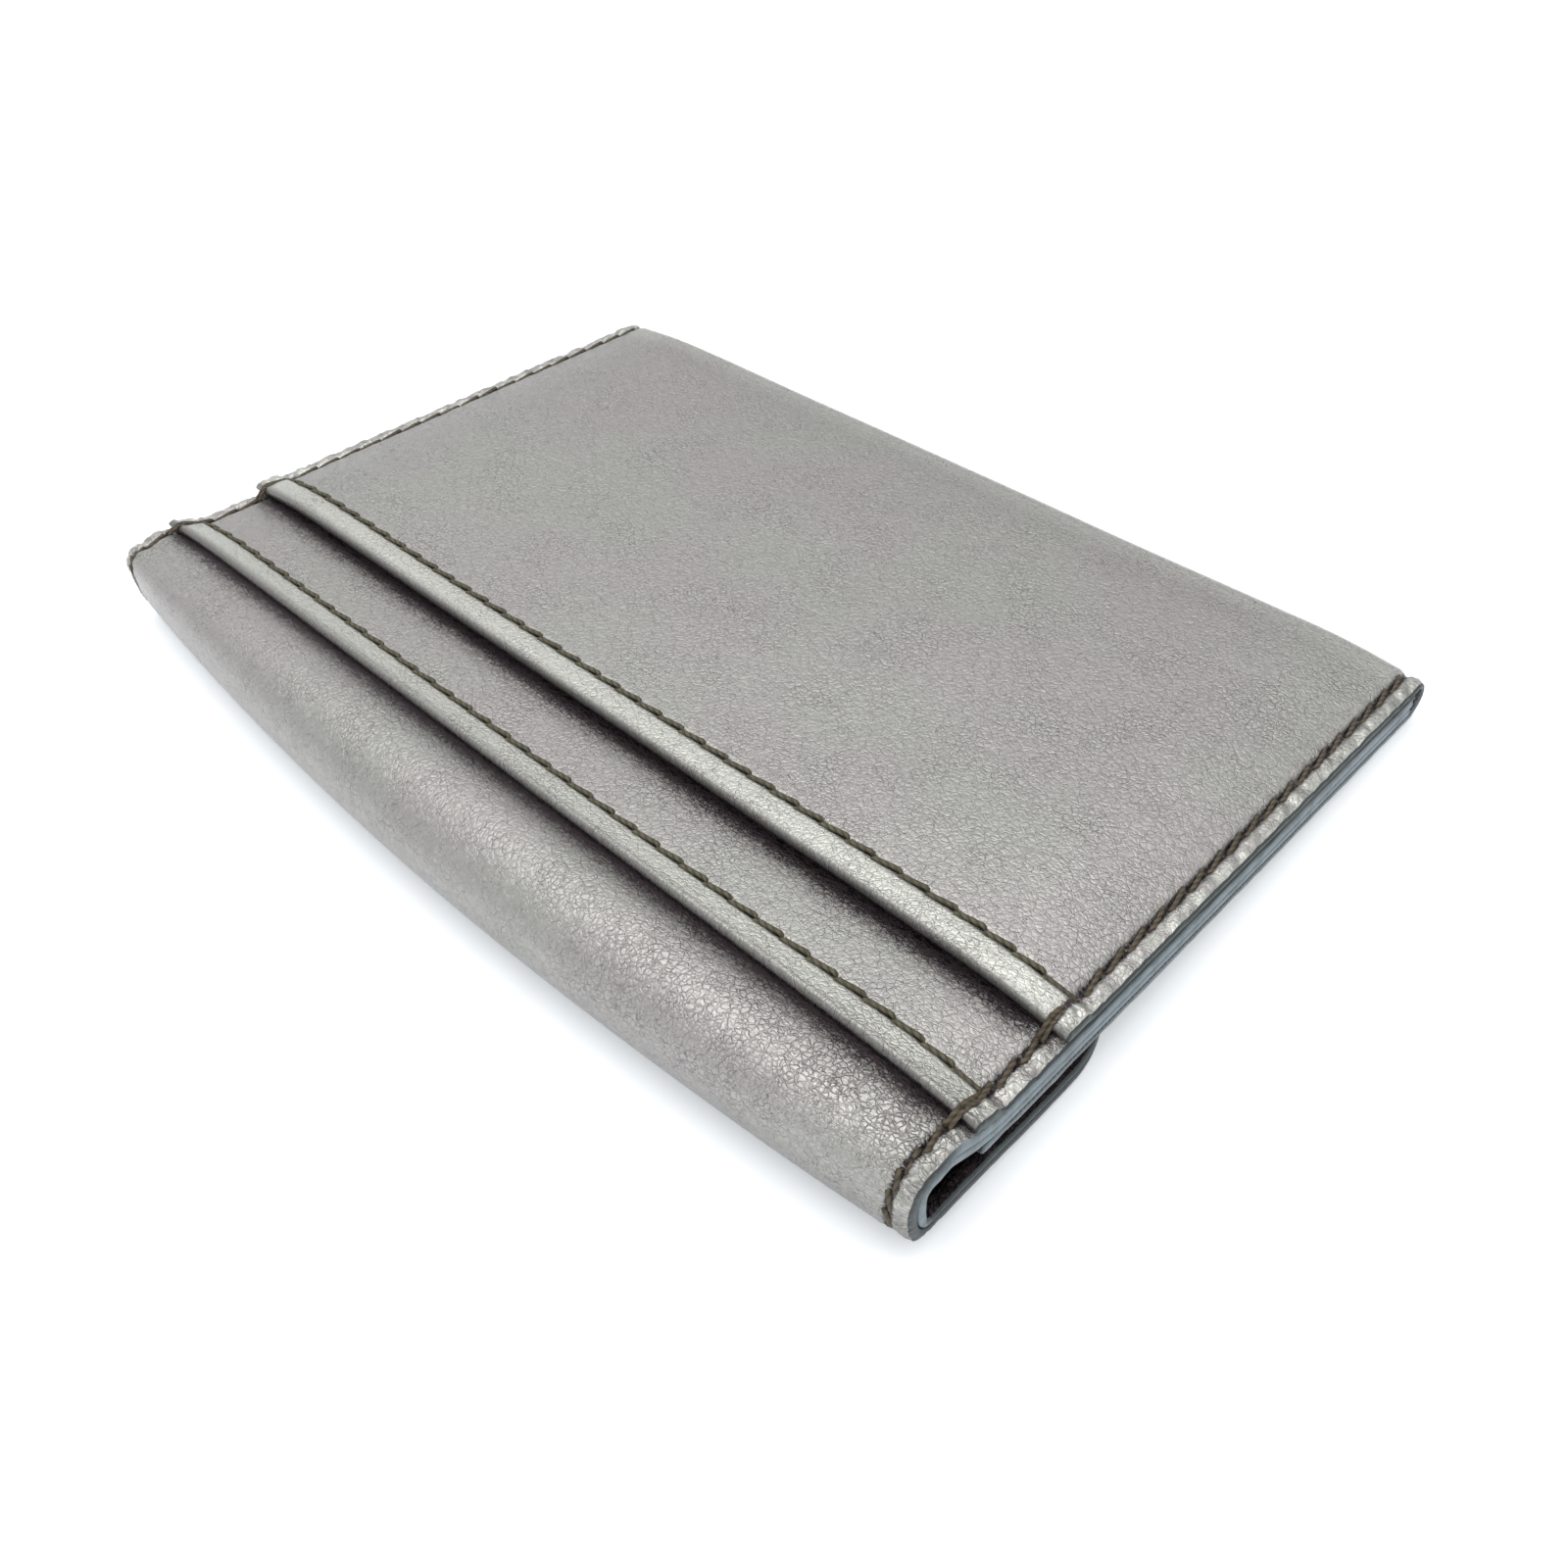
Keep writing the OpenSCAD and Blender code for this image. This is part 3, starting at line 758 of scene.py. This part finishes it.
def inner_panel_faces(s, x, nose=True):
    """Upper and lower offsets of the inner panel off the back's line: its thickness, with the doubled edge,
    its seam's trough and the round nose of the mouth."""
    from_mouth = inner_mouth_s - s
    edge, middle = half_w - np.abs(x), between_seams(x)
    bead = bead_share(from_mouth)
    high = pocket_top + bead * (0.1 * middle + 0.32 * (1 - middle)) * mm + bead_arch(from_mouth)
    low = pocket_top - pocket_gauge * pinched(x) - bead * 0.3 * middle * mm
    high = high + mouth_groove(from_mouth, x)
    high = high + sewn_groove(edge, s) * (1 - 0.6 * bead) + margin_lumps(x, s, 31) + pared(edge)
    if not nose:
        return high, low
    return thinned(high, low, rounded(edge, 0.22 * mm) * round_nose(from_mouth / (0.42 * mm)))


def inner_face(s, x, out):
    """A point of the inner panel: that offset off the back's line, with the mouth's dip under it."""
    return back_face(s, x, -out, pocket_press, 0.56)


end = inner_mouth_s
inner_s = steps((0.0, 0), (end - 14 * mm, 1.3 * mm), (end - 4 * mm, 0.3 * mm), (end - 2 * mm, 0.1 * mm),
                (end - 0.7 * mm, 0.2 * mm), (end - 0.15 * mm, 0.07 * mm), (end - 0.02 * mm, 0.03 * mm),
                (end, 0.02 * mm))[:, None]
# Painted shade on the strip in front of the outer mouth.
inner_shade = mouth_painted_shade(inner_s - outer_mouth_on_back, half_w - np.abs(columns))
inner_pocket = panel_sheet("inner_pocket_hide", inner_face, inner_panel_faces, inner_s, inner_mouth_s,
                           83 * mm, 0, inner_shade, 0, pocket_gauge)
inner_pocket.data.materials.append(hide_finish)
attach(inner_pocket, "case")
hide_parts("inner_pocket_panel")

# ---- Outer pocket panel: the big smooth panel, round the bottom of the case and back as its front ----
# One hide with no seam along the bottom. Both ends are doubled over into mouths: the outer card slot
# on the back, and the main pocket under the flap.

front_len, round_len, top_len = bottom_v - front_v, math.pi * bottom_r, bottom_v - outer_v
panel_len = front_len + round_len + top_len


def outer_line(s):
    """Place on the case and facing of the outer panel at distance s from the front mouth: a straight run, a
    half circle round the bottom, and the straight run to the outer mouth."""
    turn = np.clip(s - front_len, 0, round_len) / bottom_r
    v = (front_v + np.minimum(s, front_len) + bottom_r * np.sin(turn)
         - np.maximum(s - front_len - round_len, 0))
    return v, under + bottom_r - bottom_r * np.cos(turn), turn - math.pi / 2


def outer_face(s, x, out):
    """A point of the outer panel at that offset: swollen between the side seams on top, and raised at them
    underneath."""
    v, w, facing = outer_line(s)
    middle = between_seams(x)
    top_share = ease((s - front_len) / round_len)
    top_lift = swell * middle * far_share(v) - panel_press * (1 - middle)
    lift = out - 0.17 * mm * (1 - middle) * (1 - top_share) + top_lift * top_share
    lift = lift + top_share * 0.05 * mm * middle * uneven(x, s, 26 * mm, 5)
    y, z = on_table(*turned(v + lift * np.cos(facing), w + lift * np.sin(facing)))
    return np.stack(np.broadcast_arrays(x, y, z), -1)


def outer_panel_offsets(s, x, nose=True):
    """Outer and inner offsets of the panel off its line, with both doubled mouths and all of its seams."""
    from_mouth, from_front = panel_len - s, s
    edge, middle = half_w - np.abs(x), between_seams(x)
    bead, front_bead = bead_share(from_mouth), bead_share(from_front)
    high = (bead * (0.1 * middle + 0.38 * (1 - middle)) * mm + bead_arch(from_mouth)
            + mouth_groove(from_mouth, x) + 0.4 * mouth_groove(from_front, x))
    groove_share = (1 - 0.6 * bead) * (0.55 + 0.45 * ease((s - front_len) / round_len))
    high = high + sewn_groove(edge, panel_len - s) * groove_share
    high = high + margin_lumps(x, s, 41) + pared(edge)
    low = -panel_gauge * pinched(x) - 0.42 * mm * middle * bead - 0.25 * mm * front_bead
    if not nose:
        return high, low
    tip = np.minimum(from_mouth / (0.48 * mm), from_front / (0.5 * mm))
    return thinned(high, low, rounded(edge, 0.24 * mm) * round_nose(tip))


end, round_end = panel_len, front_len + round_len
outer_s = steps((0.0, 0), (0.02 * mm, 0.02 * mm), (0.15 * mm, 0.05 * mm), (0.6 * mm, 0.12 * mm),
                (4 * mm, 0.35 * mm), (front_len - 3 * mm, 1.1 * mm), (round_end + 4 * mm, 0.34 * mm),
                (end - 4.2 * mm, 0.42 * mm), (end - 2.2 * mm, 0.1 * mm), (end - 0.8 * mm, 0.2 * mm),
                (end - 0.15 * mm, 0.07 * mm), (end - 0.02 * mm, 0.03 * mm), (end, 0.02 * mm))[:, None]
far_rub = 0.45 * ease((outer_s - front_len - 2 * mm) / (3 * mm))
far_rub = far_rub * (1 - ease((outer_s - round_end) / (3 * mm)))
# Lighter edge colour on the front panel, painted light, fading round the bottom to the colour in shade.
outer_lit_edge_share = 1 - ease((outer_s - front_len) / round_len)
outer_pocket = panel_sheet("outer_pocket_hide", outer_face, outer_panel_offsets, outer_s, panel_len, 0,
                           far_rub, 0, outer_lit_edge_share, panel_gauge)
outer_pocket.data.materials.append(hide_finish)
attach(outer_pocket, "case")
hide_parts("outer_pocket_panel")

# ---- Front lining: thin twill cloth behind the front panel, inside the main pocket ----
# It starts at the pocket mouth's seam and stops just short of the panel's turn round the bottom.

cloth_s = steps((mouth_inset, 0), (front_len - 0.4 * mm, 1.2 * mm))[:, None]
cloth_x = columns * (half_w - 0.05 * mm) / half_w
cloth_edge = half_w - np.abs(columns)
cloth_wave = 0.02 * mm * uneven(cloth_x, cloth_s, 9 * mm, 51)
cloth_top = -panel_gauge * pinched(cloth_x) - 0.25 * mm * bead_share(cloth_s) - 0.012 * mm
cloth_half = cloth_gauge * 0.46 * rounded(cloth_edge, 0.1 * mm)
front_cloth = closed_sheet(
    "front_cloth", outer_face(cloth_s, cloth_x, cloth_top - cloth_gauge / 2 + cloth_half),
    outer_face(cloth_s, cloth_x, cloth_top - cloth_gauge / 2 - cloth_half - np.abs(cloth_wave) * 0.3),
    hide_marks(cloth_s, cloth_x, cloth_edge, 0, 0, 0, cloth_gauge))
cloth_finish, cloth_shader, w = new_finish("lining_twill")
skin = w.named("skin", out=1)
ribs = w.add("TexWave", {"wave_type": "BANDS", "bands_direction": "DIAGONAL"}, {
    "Vector": skin, "Scale": 1.3, "Distortion": 0.6, "Detail": 2.0}, out=1)
fuzz = w.noise(skin, 9.0, 3.0)
w.mixed(ribs * 0.7 + fuzz * 0.3, (0.018, 0.016, 0.016), (0.05, 0.045, 0.043)).into(cloth_shader, "Base Color")
(0.8 + 0.15 * fuzz).into(cloth_shader, "Roughness")
(ribs + fuzz * 0.4).raised(cloth_shader, 0.6, 0.06 * mm)
cloth_shader.inputs["Sheen Weight"].default_value = 0.3
front_cloth.data.materials.append(cloth_finish)
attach(front_cloth, "case")
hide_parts("front_lining")

# ---- Mouth stitching: one row of lockstitch along each turned edge ----
# Waxed thread, olive brown. Each stitch lies at a slant in its groove and dives into a needle hole at
# both ends, so a row looks like a fine saw.

thread_r, thread_lift = 0.27 * mm, 0.04 * mm
ply_start = 7.3  # each stitch starts that much further along the twist than the last
ring = np.arange(6) * math.pi / 3
stitch_along = np.array([0, 0.05, 0.16, 0.84, 0.95, 1])
stitch_thick = np.array([0.7, 0.95, 1, 1, 0.95, 0.7])
stitch_arch = np.array([-0.9, -0.3, 0.12, 0.12, -0.3, -0.9])


def stitches(name, starts, ends, faces, thick=1.0):
    """Stitches between pairs of points: each is a six-sided tube on an arched line that sinks at both ends,
    with the place round and along it kept for the twist of the plies."""
    starts, ends, faces = (np.asarray(a, float) for a in (starts, ends, faces))
    run = ends - starts
    length = np.linalg.norm(run, axis=1, keepdims=True)
    ahead = run / length
    faces = faces - (faces * ahead).sum(1, keepdims=True) * ahead
    faces /= np.linalg.norm(faces, axis=1, keepdims=True)
    aside = np.cross(ahead, faces)
    middle = (starts[:, None] + run[:, None] * stitch_along[None, :, None]
              + faces[:, None] * (stitch_arch * thread_r * thick)[None, :, None])
    spread = (aside[:, None, None] * np.cos(ring)[None, None, :, None] * 1.08
              + faces[:, None, None] * np.sin(ring)[None, None, :, None] * 0.8)
    points = middle[:, :, None] + spread * (stitch_thick * thread_r * thick)[None, :, None, None]
    rings, around = len(stitch_along), len(ring)
    tips = middle[:, [0, -1]] - faces[:, None] * 0.1 * thread_r
    count = rings * around
    every = np.concatenate([points.reshape(-1, count, 3), tips], 1)
    a = np.arange(rings - 1)[:, None] * around + np.arange(around)[None, :]
    b = np.arange(rings - 1)[:, None] * around + (np.arange(around)[None, :] + 1) % around
    sides = np.stack([a, b, b + around, a + around], -1).reshape(-1, 4)
    first, second = np.arange(around), (np.arange(around) + 1) % around
    start_cap = np.stack([second, first, np.full(around, count)], -1)
    end_cap = np.stack([first + count - around, second + count - around, np.full(around, count + 1)], -1)
    base = (np.arange(len(starts)) * (count + 2))[:, None, None]
    faces = (sides[None] + base).reshape(-1, 4).tolist()
    faces += (start_cap[None] + base).reshape(-1, 3).tolist() + (end_cap[None] + base).reshape(-1, 3).tolist()
    ply = np.zeros((len(starts), count + 2, 3))
    ply[:, :count, 0] = np.tile(np.cos(ring), rings)
    ply[:, :count, 1] = np.tile(np.sin(ring), rings)
    ply[:, :count, 2] = np.repeat(stitch_along, around) * length / mm
    ply[:, :count, 2] += np.arange(len(starts))[:, None] * ply_start
    flat = np.zeros(len(faces), bool)
    return new_piece(name, every.reshape(-1, 3), faces, flat, {"ply": ply.reshape(-1, 3)})


def on_face(face, s, x):
    """Points of a face and the directions it looks in there, from two small steps along it and across it."""
    step = 0.05 * mm
    here = face(s, x)
    facing = np.cross(face(s + step, x) - here, face(s, x + step) - here)
    return here, facing / np.linalg.norm(facing, axis=1, keepdims=True)


def row_along_x(name, face, row_s):
    """A mouth's row: stitches centred one pitch apart between the side seams, each slanted a little."""
    count = round(2 * side_x / mouth_pitch)
    centres = (np.arange(count) - (count - 1) / 2) * mouth_pitch
    slant, half = 0.29 * mm, mouth_pitch * 0.5 + 0.07 * mm
    s = np.full(count, row_s)
    start, facing = on_face(face, s + slant, centres - half)
    end, _ = on_face(face, s - slant, centres + half)
    return stitches(name, start + facing * thread_lift, end + facing * thread_lift, facing)


def waxed_thread(name, light, dark):
    """Three twisted plies: a spiral band from the thread's own round and length, with fine fibres."""
    material, shader, w = new_finish(name)
    ply = w.named("ply", out=1)
    x, y, along = (w.add("SeparateXYZ", {}, {0: ply}, out=i) for i in range(3))
    round_thread = w.maths("ARCTAN2", y, x)
    twist = w.maths("SINE", round_thread * 3 + along * 9.0) * 0.5 + 0.5
    place = w.add("TexCoord", {}, {}, out=3)
    fibre = w.noise(place, 9000, 3.0)
    patch = w.noise(place, 300, 2.0)
    colour = w.mixed(twist.limited(0.0, 0.6), dark, light)
    colour = w.mixed(patch.limited(0.35, 0.65) * 0.6, colour, tuple(c * 0.55 for c in light))
    w.mixed(fibre.limited(0.6, 0.8) * 0.25, colour, tuple(c * 1.9 for c in light)).into(shader, "Base Color")
    (0.5 + 0.2 * fibre).into(shader, "Roughness")
    (twist + 0.4 * fibre).raised(shader, 0.7, 0.05 * mm)
    return material


olive_thread = waxed_thread("olive_thread", (0.088, 0.078, 0.042), (0.022, 0.02, 0.012))
brown_thread = waxed_thread("brown_thread", (0.085, 0.064, 0.037), (0.022, 0.016, 0.01))


def inner_top(s, x):
    """The inner panel's upper face without its edge rounding, for the thread to lie on."""
    return inner_face(s, x, inner_panel_faces(s, x, nose=False)[0])


def outer_skin(s, x):
    """The outer panel's outward face without its edge rounding, for the thread to lie on."""
    return outer_face(s, x, outer_panel_offsets(s, x, nose=False)[0])


for piece, node in (
        (row_along_x("outer_mouth_thread", outer_skin, panel_len - mouth_inset), "outer_mouth_stitching"),
        (row_along_x("inner_mouth_thread", inner_top, inner_mouth_s - mouth_inset), "inner_mouth_stitching"),
        (row_along_x("front_mouth_thread", outer_skin, mouth_inset), "front_mouth_stitching")):
    piece.data.materials.append(olive_thread)
    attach(piece, "case")
    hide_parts(node)

# ---- Side stitching: from the bottom of the case over both mouths, round the fold and along the flap ----
# The same thread, browner with handling. The rows go down a step at each mouth, where two extra
# strands tack the doubled edge. Round the fold they follow the leather, in one length for each bend.


def back_skin(s, x):
    """The back leather's outer face without its edge rounding, for the thread to lie on."""
    edge = half_w - np.abs(x)
    return back_face(s, x, -(sewn_groove(edge, s) + margin_lumps(x, s, 11) + pared(edge)), hide_press, 0.5)


def row_along_s(face, s0, s1, side, beat_of=0.0):
    """Stitch ends and facings of a side seam on one face, between two distances, on whole pitches."""
    first, last = math.ceil((s0 - beat_of) / pitch), math.floor((s1 - beat_of) / pitch)
    centres = np.arange(first, last + 1) * pitch + beat_of
    slant, half = 0.31 * mm, pitch * 0.5 + 0.05 * mm
    x = np.full(len(centres), side * side_x)
    start, facing = on_face(face, centres - half, x - slant)
    end, _ = on_face(face, centres + half, x + slant)
    return start + facing * thread_lift, end + facing * thread_lift, facing


def joined(rows):
    """Several rows' starts, ends and facings, one after another."""
    return [np.concatenate(part) for part in zip(*rows)]


panel_beat, inner_seam_s = panel_len % pitch, inner_mouth_s - mouth_inset


def tack(side, gap, mouth_s, over, below):
    """Two strands across a mouth's edge: points on the doubled edge, at its nose, and on the layer below."""
    rows = []
    for shift in (-0.22 * mm, 0.2 * mm):
        x = np.array([side * side_x + shift])
        top, up = on_face(over, np.array([mouth_s - mouth_inset - 0.1 * mm]), x)
        nose, _ = on_face(over, np.array([mouth_s - 0.35 * mm]), x)
        foot, _ = on_face(below, np.array([gap + 1.0 * mm]), x)
        rows.append((top + up * 0.1 * mm, nose + up * 0.12 * mm, up))
        rows.append((nose + up * 0.1 * mm, foot + up * 0.05 * mm, up + np.array([[0, -0.6, 0]])))
    return joined(rows)


for side, name in ((-1, "left"), (1, "right")):
    rows = [row_along_s(outer_skin, 1.0 * mm, front_len - 0.6 * mm, side, panel_beat),
            row_along_s(outer_skin, round_end + 0.4 * mm, panel_len - mouth_inset, side, panel_beat),
            row_along_s(inner_top, outer_mouth_on_back + 1.4 * mm, inner_seam_s + 0.3 * mm, side),
            tack(side, outer_mouth_on_back, panel_len, outer_skin, inner_top),
            tack(side, inner_mouth_s, inner_mouth_s, inner_top, back_skin)]
    side_thread = stitches(f"{name}_side_thread", *joined(rows), thick=0.8)
    side_thread.data.materials.append(brown_thread)
    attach(side_thread, "case")
    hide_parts(f"{name}_side_stitching")

limits = [inner_mouth_s + 1.5 * mm, *(run_at(cut_turn(bend)) for bend in range(3)), table_s]
for bend, (start, end_s, name) in enumerate(zip(limits, limits[1:], ("first", "upper", "lower"))):
    rows = [row_along_s(back_skin, start, end_s, side) for side in (-1, 1)]
    piece = stitches(f"fold_thread_{name}", *joined(rows), thick=0.8)
    piece.data.materials.append(brown_thread)
    blend_at_bend(piece, bend, 0, hide_gauge, hide_press)
    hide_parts(("fold_stitching_upper", "fold_stitching_middle", "fold_stitching_lower")[bend])

# ---- Flap stitching: round the flap's edge, showing on both of its faces ----
# It goes on from the side seams, follows the two round corners and crosses the tip.

flap_turn_r = flap_corner_r - seam_inset
corner_len = flap_turn_r * math.pi / 2
straight_len = flap_v - flap_corner_r
tip_len = 2 * (half_w - flap_corner_r)
flap_path_len = 2 * straight_len + 2 * corner_len + tip_len


def flap_path(d):
    """Across and along the flap at distance d on its seam: a side, a quarter circle, the tip, and back."""
    first = np.clip(d - straight_len, 0, corner_len) / flap_turn_r
    second = np.clip(d - straight_len - corner_len - tip_len, 0, corner_len) / flap_turn_r
    x = (-half_w + seam_inset + flap_turn_r * (1 - np.cos(first))
         + np.clip(d - straight_len - corner_len, 0, tip_len) + flap_turn_r * np.sin(second))
    y = (np.minimum(d, straight_len) + flap_turn_r * np.sin(first) - flap_turn_r * (1 - np.cos(second))
         - np.maximum(d - straight_len - 2 * corner_len - tip_len, 0))
    return x, y


def flap_row(depth, facing_sign):
    """Stitches along the flap's seam on one of its faces, slanted by a step towards the edge."""
    count = round(flap_path_len / pitch)
    step = flap_path_len / count
    d = (np.arange(count) + 0.5) * step
    ends = []
    for shift, slant in ((-0.5 * step - 0.03 * mm, 0.14 * mm), (0.5 * step + 0.03 * mm, -0.14 * mm)):
        x, y = flap_path(d + shift)
        nx, ny = flap_path(d + shift + 0.1 * mm)
        away = np.stack([-(ny - y), nx - x], -1)
        away /= np.linalg.norm(away, axis=1, keepdims=True)
        x, y = x + away[:, 0] * slant, y + away[:, 1] * slant
        z = depth - facing_sign * 0.11 * mm + end_rise(table_s + y, x, 1.5 * math.pi)
        ends.append(np.stack([x, fold_y + y, z], -1))
    return ends[0], ends[1], np.tile([0, 0, float(facing_sign)], (count, 1))


arc_rows = [row_along_s(back_skin, limits[3], table_s - 0.3 * mm, side) for side in (-1, 1)]
flap_thread = stitches("flap_thread", *joined([flap_row(0.13 * mm, -1),
                                               flap_row(hide_gauge + liner_gauge - 0.1 * mm, 1), *arc_rows]))
flap_thread.data.materials.append(olive_thread)
blend_at_bend(flap_thread, 3, 0, hide_gauge, hide_press)
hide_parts("flap_stitching")

# ---- Table and light ----
# A plain white table, a wide soft light overhead and a room that is bright above and on the left and
# darker low down behind the case.

table = bpy.data.meshes.new("table")
table.from_pydata([(-3, -3, 0), (3, -3, 0), (3, 3, 0), (-3, 3, 0)], [], [(0, 1, 2, 3)])
table = placed("table", table)
table_finish, table_shader, w = new_finish("white_table")
for name, value in (("Base Color", (0.9, 0.91, 0.92, 1)), ("Emission Color", (0.85, 0.93, 1.0, 1)),
                    ("Emission Strength", 0.22), ("Roughness", 0.9), ("Specular IOR Level", 0.1)):
    table_shader.inputs[name].default_value = value
table.data.materials.append(table_finish)

room = bpy.data.worlds.new("room")
room.use_nodes = True
bpy.context.scene.world = room
w = Wire(room.node_tree)
way = w.add("TexCoord", {}, {}, out=0)
east, north, height = (w.add("SeparateXYZ", {}, {0: way}, out=i) for i in range(3))
behind = north.limited(0.15, 0.7) * (east + 1).limited(0.12, 0.42)
low = 0.8 - 0.76 * behind
bright = low + (1.05 - low) * height.limited(0.12, 0.42) + 0.35 * height.limited(0.55, 1.0)
seen = w.add("LightPath", {}, {}, out=0)
light = w.mixed(height.limited(0.0, 0.5), (0.93, 0.96, 1.0), (1.0, 1.0, 0.995))
sky = w.add("Background", {}, {"Color": light, "Strength": bright})
plain = w.add("Background", {}, {"Color": (0.93, 0.93, 0.93, 1), "Strength": 1.0})
mixed = w.add("MixShader", {}, {0: seen, 1: sky, 2: plain})
room.node_tree.links.new(mixed.socket, room.node_tree.nodes["World Output"].inputs["Surface"])

lamp = bpy.data.lights.new("overhead", "AREA")
lamp.shape, lamp.size, lamp.size_y, lamp.energy = "RECTANGLE", 0.7, 0.5, 2.2
overhead = placed("overhead", lamp)
overhead.location = (-0.12, 0.05, 0.75)
overhead.rotation_euler = Vector((-0.12, 0.05, 0.75)).to_track_quat("Z", "Y").to_euler()

settings = bpy.context.scene.view_settings
settings.view_transform = "Standard"
settings.look = "None"
